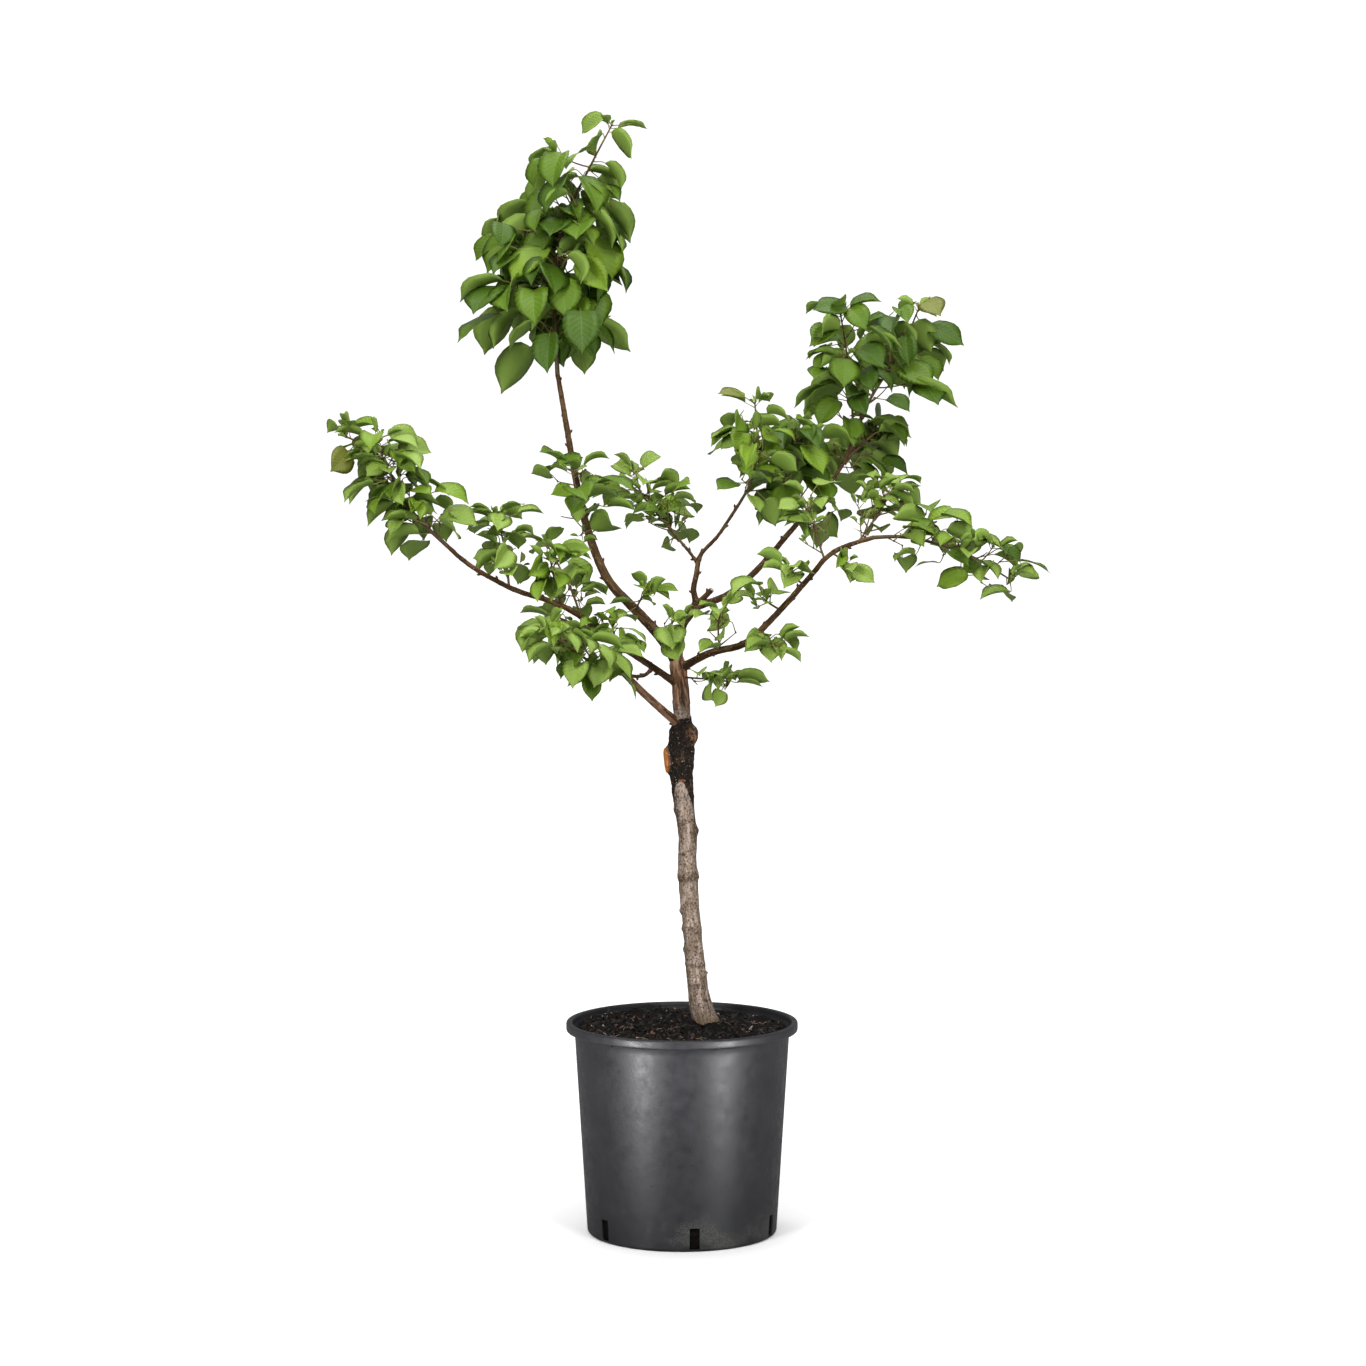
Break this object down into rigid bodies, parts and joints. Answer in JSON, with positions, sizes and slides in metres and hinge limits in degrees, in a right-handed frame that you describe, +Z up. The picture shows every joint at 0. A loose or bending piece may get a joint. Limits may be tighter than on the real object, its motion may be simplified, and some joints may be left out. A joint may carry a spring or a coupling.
{
  "type": "potted apricot tree",
  "caption": "Young standard fruit tree with an open, spreading crown, standing in a round black nursery pot full of compost.",
  "frame": {"origin": "centre of the pot's flat underside, on the ground", "axes": "+Z up along the trunk, +X to the right and -Y towards the viewer of the picture"},
  "size_m": [0.9914, 0.6724, 1.5968],
  "materials": {
    "pot": "black moulded plastic with a soft sheen",
    "compost": "moist bark compost, matte",
    "bark": "grey-brown to red-brown bark, matte",
    "foliage": "fresh green leaves with a slight sheen"
  },
  "bodies": {
    "root": {"pot": "pot", "soil": "compost", "trunk": "bark", "leader_bough": "bark", "left_bough": "bark", "front_left_bough": "bark", "low_left_bough": "bark", "centre_bough": "bark", "right_high_bough": "bark", "upright_bough": "bark", "cut_stub": "bark", "centre_right_bough": "bark", "back_left_bough": "bark", "right_low_bough": "bark", "leader_crown": "foliage", "leader_spray": "foliage", "leader_spur": "foliage", "left_crown": "foliage", "left_inner_spray": "foliage", "left_mid_spray": "foliage", "left_back_spray": "foliage", "left_low_spray": "foliage", "front_left_crown": "foliage", "low_left_crown": "foliage", "back_left_crown": "foliage", "centre_right_crown": "foliage", "right_high_spray": "foliage", "right_high_crown": "foliage", "right_high_side": "foliage", "right_back_spray": "foliage", "right_low_crown": "foliage", "right_low_shoot": "foliage", "right_low_spray": "foliage", "right_bend_spur": "foliage", "right_spur_high": "foliage", "right_spur_low": "foliage", "right_spur_mid": "foliage", "right_spur_bend": "foliage", "right_spur_tall": "foliage", "collar_spray": "foliage"}
  },
  "joints": []
}
